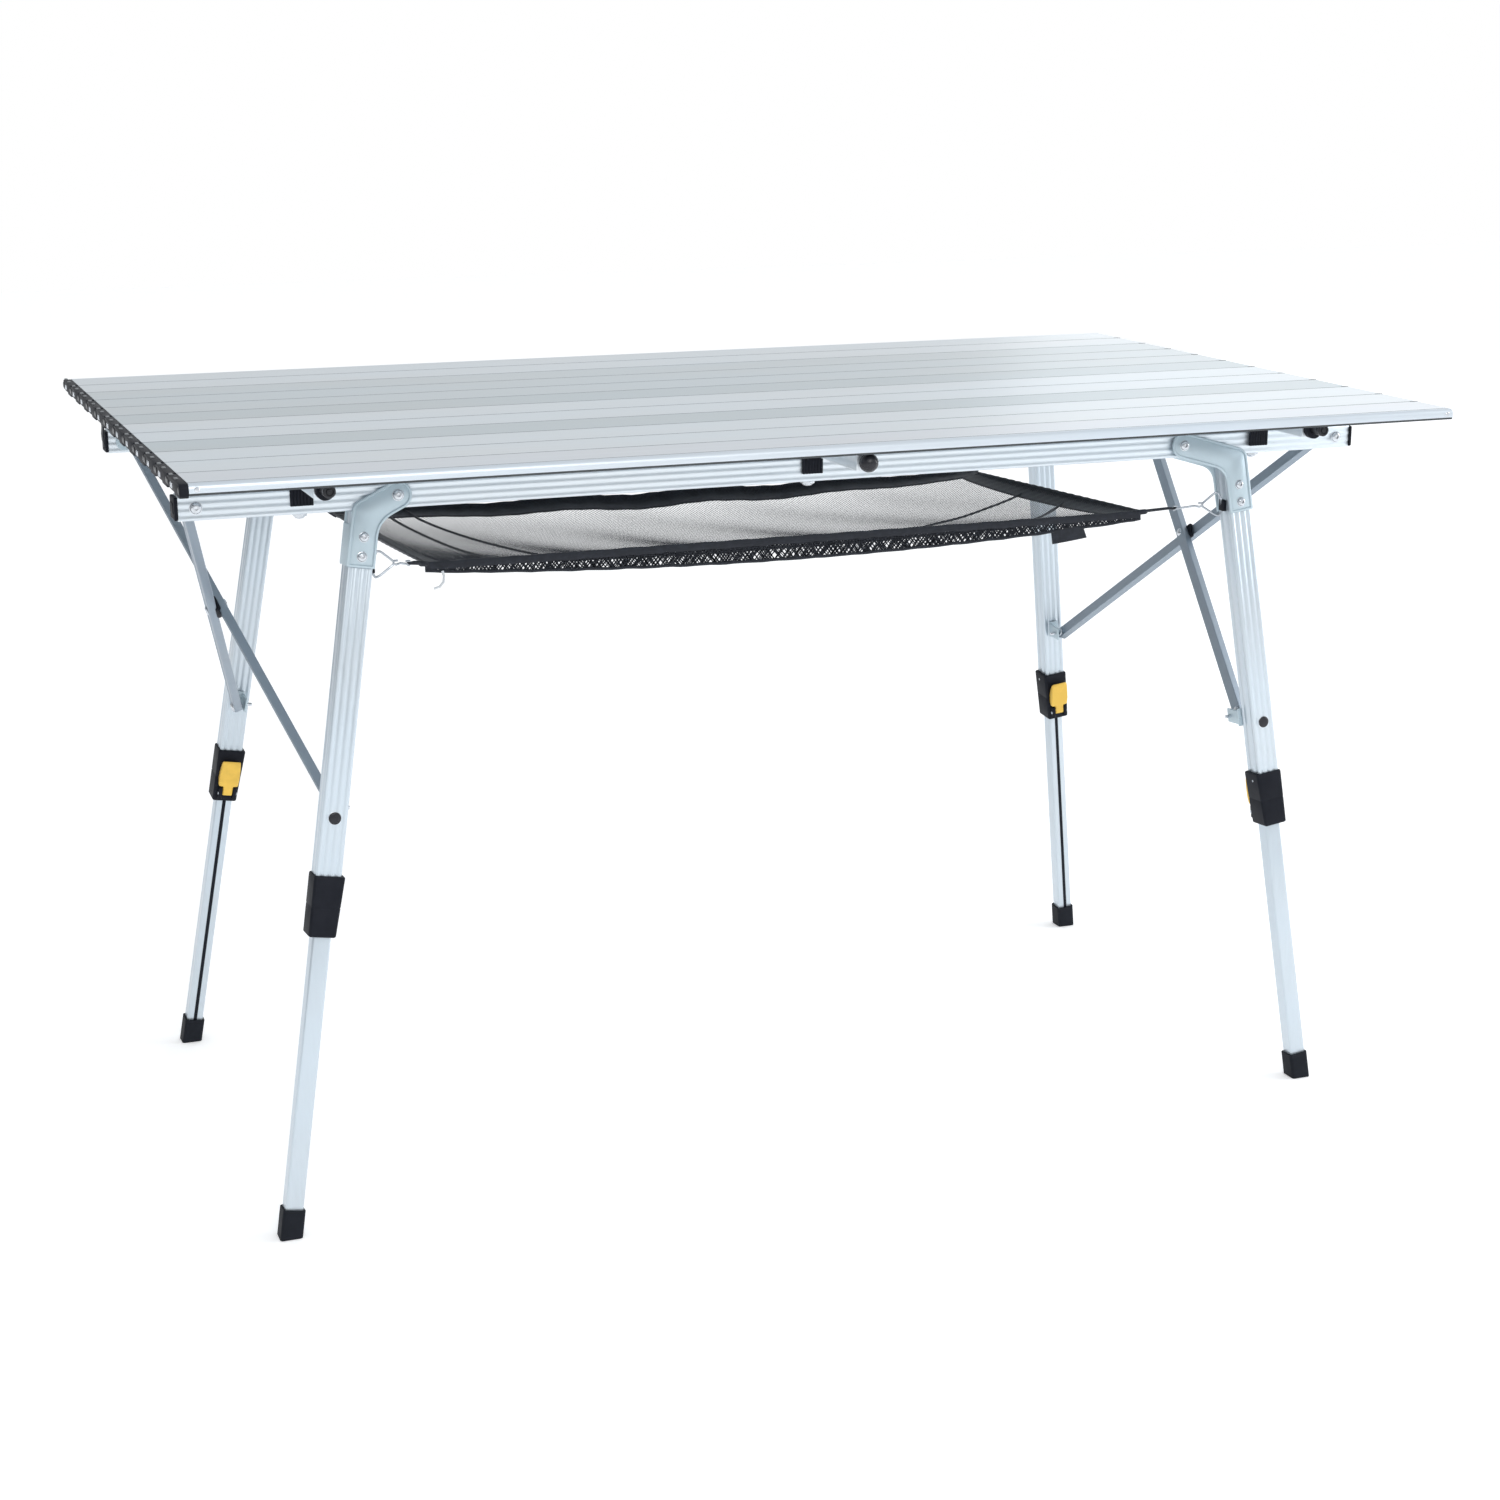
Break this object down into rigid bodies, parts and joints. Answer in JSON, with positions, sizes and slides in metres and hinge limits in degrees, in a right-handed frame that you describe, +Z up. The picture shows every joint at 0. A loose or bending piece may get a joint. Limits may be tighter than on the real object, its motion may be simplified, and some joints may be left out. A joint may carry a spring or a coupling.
{
  "type": "camp kitchen table",
  "caption": "Roll-top folding camp table on splayed, height-adjustable legs, with crossed end braces and a net shelf under the top.",
  "frame": {"origin": "on the floor, below the middle of the table top", "axes": "+X along the table, +Y to its back, +Z up"},
  "size_m": [1.196, 0.7056, 0.7],
  "materials": {
    "slat_aluminium": "satin anodised",
    "frame_aluminium": "satin anodised",
    "bracket_metal": "satin",
    "brace_metal": "satin",
    "bolt_steel": "bright",
    "black_plastic": "matt",
    "foot_rubber": "matt",
    "yellow_plastic": "satin",
    "net_fabric": "knitted mesh",
    "hem_fabric": "woven binding",
    "wire_steel": "bright wire"
  },
  "bodies": {
    "front_frame": {"front_rail": "frame_aluminium", "front_rail_plastics": "black_plastic", "front_rail_bolts": "bolt_steel", "net_shelf": "net_fabric", "net_hem": "hem_fabric", "net_hooks": "wire_steel"},
    "back_frame": {"back_rail": "frame_aluminium", "back_rail_plastics": "black_plastic", "back_rail_bolts": "bolt_steel"},
    "cross_bar_left_arm": {"cross_bar_left": "frame_aluminium", "bar_ends_left": "black_plastic"},
    "cross_bar_centre_arm": {"cross_bar_centre": "frame_aluminium", "bar_ends_centre": "black_plastic"},
    "cross_bar_right_arm": {"cross_bar_right": "frame_aluminium", "bar_ends_right": "black_plastic"},
    "leg_front_left": {"bracket_front_left": "bracket_metal", "upper_leg_front_left": "frame_aluminium", "clamp_front_left": "black_plastic"},
    "extension_front_left": {"lower_leg_front_left": "frame_aluminium", "foot_front_left": "foot_rubber"},
    "lever_front_left": {"cam_lever_front_left": "yellow_plastic"},
    "leg_front_right": {"bracket_front_right": "bracket_metal", "upper_leg_front_right": "frame_aluminium", "clamp_front_right": "black_plastic"},
    "extension_front_right": {"lower_leg_front_right": "frame_aluminium", "foot_front_right": "foot_rubber"},
    "lever_front_right": {"cam_lever_front_right": "yellow_plastic"},
    "leg_back_left": {"bracket_back_left": "bracket_metal", "upper_leg_back_left": "frame_aluminium", "clamp_back_left": "black_plastic"},
    "extension_back_left": {"lower_leg_back_left": "frame_aluminium", "foot_back_left": "foot_rubber"},
    "lever_back_left": {"cam_lever_back_left": "yellow_plastic"},
    "leg_back_right": {"bracket_back_right": "bracket_metal", "upper_leg_back_right": "frame_aluminium", "clamp_back_right": "black_plastic"},
    "extension_back_right": {"lower_leg_back_right": "frame_aluminium", "foot_back_right": "foot_rubber"},
    "lever_back_right": {"cam_lever_back_right": "yellow_plastic"},
    "swivel_arm_front_left": {"swivel_front_left": "bracket_metal"},
    "brace_arm_front_left": {"brace_front_left": "brace_metal"},
    "swivel_arm_front_right": {"swivel_front_right": "bracket_metal"},
    "brace_arm_front_right": {"brace_front_right": "brace_metal"},
    "swivel_arm_back_left": {"swivel_back_left": "bracket_metal"},
    "brace_arm_back_left": {"brace_back_left": "brace_metal"},
    "swivel_arm_back_right": {"swivel_back_right": "bracket_metal"},
    "brace_arm_back_right": {"brace_back_right": "brace_metal"},
    "slat_12_link": {"slat_12": "slat_aluminium"},
    "slat_11_link": {"slat_11": "slat_aluminium"},
    "slat_10_link": {"slat_10": "slat_aluminium"},
    "slat_09_link": {"slat_09": "slat_aluminium"},
    "slat_08_link": {"slat_08": "slat_aluminium", "closing_strap": "hem_fabric"},
    "slat_07_link": {"slat_07": "slat_aluminium"},
    "slat_06_link": {"slat_06": "slat_aluminium"},
    "slat_05_link": {"slat_05": "slat_aluminium"},
    "slat_04_link": {"slat_04": "slat_aluminium"},
    "slat_03_link": {"slat_03": "slat_aluminium"},
    "slat_02_link": {"slat_02": "slat_aluminium"},
    "slat_01_link": {"slat_01": "slat_aluminium"}
  },
  "joints": [
    {"name": "frame_fold", "type": "slide", "parent": "front_frame", "child": "back_frame", "axis": [0, -1, 0], "range_m": [0, 0.115], "deforming": ["net_shelf", "net_hem", "net_hooks"]},
    {"name": "bar_swing_left", "type": "hinge", "parent": "front_frame", "child": "cross_bar_left_arm", "pos_m": [-0.473, -0.202, 0.68], "axis": [0, 0, -1], "range_deg": [0, 44.38]},
    {"name": "bar_swing_centre", "type": "hinge", "parent": "front_frame", "child": "cross_bar_centre_arm", "pos_m": [0, -0.202, 0.68], "axis": [0, 0, -1], "range_deg": [0, 44.38]},
    {"name": "bar_swing_right", "type": "hinge", "parent": "back_frame", "child": "cross_bar_right_arm", "pos_m": [0.473, 0.202, 0.68], "axis": [0, 0, -1], "range_deg": [0, 44.38]},
    {"name": "leg_fold_front_left", "type": "hinge", "parent": "front_frame", "child": "leg_front_left", "pos_m": [-0.3893, -0.202, 0.656], "axis": [0, -0.9963, 0.0854], "range_deg": [0, 45.49]},
    {"name": "height_front_left", "type": "slide", "parent": "leg_front_left", "child": "extension_front_left", "axis": [0.1599, 0.0843, 0.9835], "range_m": [0, 0.235]},
    {"name": "cam_front_left", "type": "hinge", "parent": "leg_front_left", "child": "lever_front_left", "pos_m": [-0.4765, -0.21822, 0.28061], "axis": [-0.9871, 0.0137, 0.1593], "range_deg": [0, 110]},
    {"name": "leg_fold_front_right", "type": "hinge", "parent": "front_frame", "child": "leg_front_right", "pos_m": [0.3893, -0.202, 0.656], "axis": [0, 0.9963, -0.0854], "range_deg": [0, 43.43]},
    {"name": "height_front_right", "type": "slide", "parent": "leg_front_right", "child": "extension_front_right", "axis": [-0.1271, 0.0847, 0.9883], "range_m": [0, 0.235]},
    {"name": "cam_front_right", "type": "hinge", "parent": "leg_front_right", "child": "lever_front_right", "pos_m": [0.49352, -0.21838, 0.2788], "axis": [-0.9919, -0.0109, -0.1266], "range_deg": [0, 110]},
    {"name": "leg_fold_back_left", "type": "hinge", "parent": "back_frame", "child": "leg_back_left", "pos_m": [-0.3893, 0.202, 0.656], "axis": [0, -0.9963, -0.0854], "range_deg": [0, 45.49]},
    {"name": "height_back_left", "type": "slide", "parent": "leg_back_left", "child": "extension_back_left", "axis": [0.1599, -0.0843, 0.9835], "range_m": [0, 0.235]},
    {"name": "cam_back_left", "type": "hinge", "parent": "leg_back_left", "child": "lever_back_left", "pos_m": [-0.4765, 0.21822, 0.28061], "axis": [0.9871, 0.0137, -0.1593], "range_deg": [0, 110]},
    {"name": "leg_fold_back_right", "type": "hinge", "parent": "back_frame", "child": "leg_back_right", "pos_m": [0.3893, 0.202, 0.656], "axis": [0, 0.9963, 0.0854], "range_deg": [0, 43.43]},
    {"name": "height_back_right", "type": "slide", "parent": "leg_back_right", "child": "extension_back_right", "axis": [-0.1271, -0.0847, 0.9883], "range_m": [0, 0.235]},
    {"name": "cam_back_right", "type": "hinge", "parent": "leg_back_right", "child": "lever_back_right", "pos_m": [0.49352, 0.21838, 0.2788], "axis": [0.9919, -0.0109, 0.1266], "range_deg": [0, 110]},
    {"name": "brace_swing_front_left", "type": "hinge", "parent": "front_frame", "child": "swivel_arm_front_left", "pos_m": [-0.563, -0.18, 0.656], "axis": [0, -1, 0], "range_deg": [0, 32.23]},
    {"name": "brace_lean_front_left", "type": "hinge", "parent": "swivel_arm_front_left", "child": "brace_arm_front_left", "pos_m": [-0.563, -0.18, 0.656], "axis": [-0.9375, 0, -0.348], "range_deg": [0, 19.18]},
    {"name": "brace_swing_front_right", "type": "hinge", "parent": "front_frame", "child": "swivel_arm_front_right", "pos_m": [0.563, -0.18, 0.656], "axis": [0, 1, 0], "range_deg": [0, 31.83]},
    {"name": "brace_lean_front_right", "type": "hinge", "parent": "swivel_arm_front_right", "child": "brace_arm_front_right", "pos_m": [0.563, -0.18, 0.656], "axis": [-0.9588, 0, 0.2841], "range_deg": [0, 19.2]},
    {"name": "brace_swing_back_left", "type": "hinge", "parent": "back_frame", "child": "swivel_arm_back_left", "pos_m": [-0.563, 0.18, 0.656], "axis": [0, -1, 0], "range_deg": [0, 32.23]},
    {"name": "brace_lean_back_left", "type": "hinge", "parent": "swivel_arm_back_left", "child": "brace_arm_back_left", "pos_m": [-0.563, 0.18, 0.656], "axis": [0.9375, 0, 0.348], "range_deg": [0, 19.18]},
    {"name": "brace_swing_back_right", "type": "hinge", "parent": "back_frame", "child": "swivel_arm_back_right", "pos_m": [0.563, 0.18, 0.656], "axis": [0, 1, 0], "range_deg": [0, 31.83]},
    {"name": "brace_lean_back_right", "type": "hinge", "parent": "swivel_arm_back_right", "child": "brace_arm_back_right", "pos_m": [0.563, 0.18, 0.656], "axis": [0.9588, 0, -0.2841], "range_deg": [0, 19.2]},
    {"name": "top_lift", "type": "slide", "parent": "front_frame", "child": "slat_12_link", "axis": [0, 0, 1], "range_m": [0, 0.15]},
    {"name": "top_roll", "type": "hinge", "parent": "slat_12_link", "child": "slat_11_link", "pos_m": [0, 0.29415, 0.7], "axis": [-1, 0, 0], "range_deg": [0, 29]},
    {"name": "top_roll_10", "type": "hinge", "parent": "slat_11_link", "child": "slat_10_link", "pos_m": [0, 0.23532, 0.7], "axis": [-1, 0, 0], "range_deg": [0, 29.05]},
    {"name": "top_roll_09", "type": "hinge", "parent": "slat_10_link", "child": "slat_09_link", "pos_m": [0, 0.17649, 0.7], "axis": [-1, 0, 0], "range_deg": [0, 29.05]},
    {"name": "top_roll_08", "type": "hinge", "parent": "slat_09_link", "child": "slat_08_link", "pos_m": [0, 0.11766, 0.7], "axis": [-1, 0, 0], "range_deg": [0, 29.05]},
    {"name": "top_roll_07", "type": "hinge", "parent": "slat_08_link", "child": "slat_07_link", "pos_m": [0, 0.05883, 0.7], "axis": [-1, 0, 0], "range_deg": [0, 29.05]},
    {"name": "top_roll_06", "type": "hinge", "parent": "slat_07_link", "child": "slat_06_link", "pos_m": [0, 0, 0.7], "axis": [-1, 0, 0], "range_deg": [0, 29.05]},
    {"name": "top_roll_05", "type": "hinge", "parent": "slat_06_link", "child": "slat_05_link", "pos_m": [0, -0.05883, 0.7], "axis": [-1, 0, 0], "range_deg": [0, 29.05]},
    {"name": "top_roll_04", "type": "hinge", "parent": "slat_05_link", "child": "slat_04_link", "pos_m": [0, -0.11766, 0.7], "axis": [-1, 0, 0], "range_deg": [0, 29.05]},
    {"name": "top_roll_03", "type": "hinge", "parent": "slat_04_link", "child": "slat_03_link", "pos_m": [0, -0.17649, 0.7], "axis": [-1, 0, 0], "range_deg": [0, 29.05]},
    {"name": "top_roll_02", "type": "hinge", "parent": "slat_03_link", "child": "slat_02_link", "pos_m": [0, -0.23532, 0.7], "axis": [-1, 0, 0], "range_deg": [0, 29.05]},
    {"name": "top_roll_01", "type": "hinge", "parent": "slat_02_link", "child": "slat_01_link", "pos_m": [0, -0.29415, 0.7], "axis": [-1, 0, 0], "range_deg": [0, 29.05]}
  ],
  "couplings": [
    {"joint": "bar_swing_left", "follows": "frame_fold", "rad_per_m": 6.7276},
    {"joint": "bar_swing_centre", "follows": "frame_fold", "rad_per_m": 6.7276},
    {"joint": "bar_swing_right", "follows": "frame_fold", "rad_per_m": 6.7276},
    {"joint": "leg_fold_front_left", "follows": "frame_fold", "rad_per_m": 6.8959},
    {"joint": "leg_fold_front_right", "follows": "frame_fold", "rad_per_m": 6.5835},
    {"joint": "leg_fold_back_left", "follows": "frame_fold", "rad_per_m": 6.8959},
    {"joint": "leg_fold_back_right", "follows": "frame_fold", "rad_per_m": 6.5835},
    {"joint": "brace_swing_front_left", "follows": "frame_fold", "rad_per_m": 4.8844},
    {"joint": "brace_lean_front_left", "follows": "frame_fold", "rad_per_m": 2.904},
    {"joint": "brace_swing_front_right", "follows": "frame_fold", "rad_per_m": 4.8226},
    {"joint": "brace_lean_front_right", "follows": "frame_fold", "rad_per_m": 2.9061},
    {"joint": "brace_swing_back_left", "follows": "frame_fold", "rad_per_m": 4.8844},
    {"joint": "brace_lean_back_left", "follows": "frame_fold", "rad_per_m": 2.904},
    {"joint": "brace_swing_back_right", "follows": "frame_fold", "rad_per_m": 4.8226},
    {"joint": "brace_lean_back_right", "follows": "frame_fold", "rad_per_m": 2.9061},
    {"joint": "top_roll_10", "follows": "top_roll", "ratio": 1},
    {"joint": "top_roll_09", "follows": "top_roll", "ratio": 1},
    {"joint": "top_roll_08", "follows": "top_roll", "ratio": 1},
    {"joint": "top_roll_07", "follows": "top_roll", "ratio": 1},
    {"joint": "top_roll_06", "follows": "top_roll", "ratio": 1},
    {"joint": "top_roll_05", "follows": "top_roll", "ratio": 1},
    {"joint": "top_roll_04", "follows": "top_roll", "ratio": 1},
    {"joint": "top_roll_03", "follows": "top_roll", "ratio": 1},
    {"joint": "top_roll_02", "follows": "top_roll", "ratio": 1},
    {"joint": "top_roll_01", "follows": "top_roll", "ratio": 1}
  ]
}
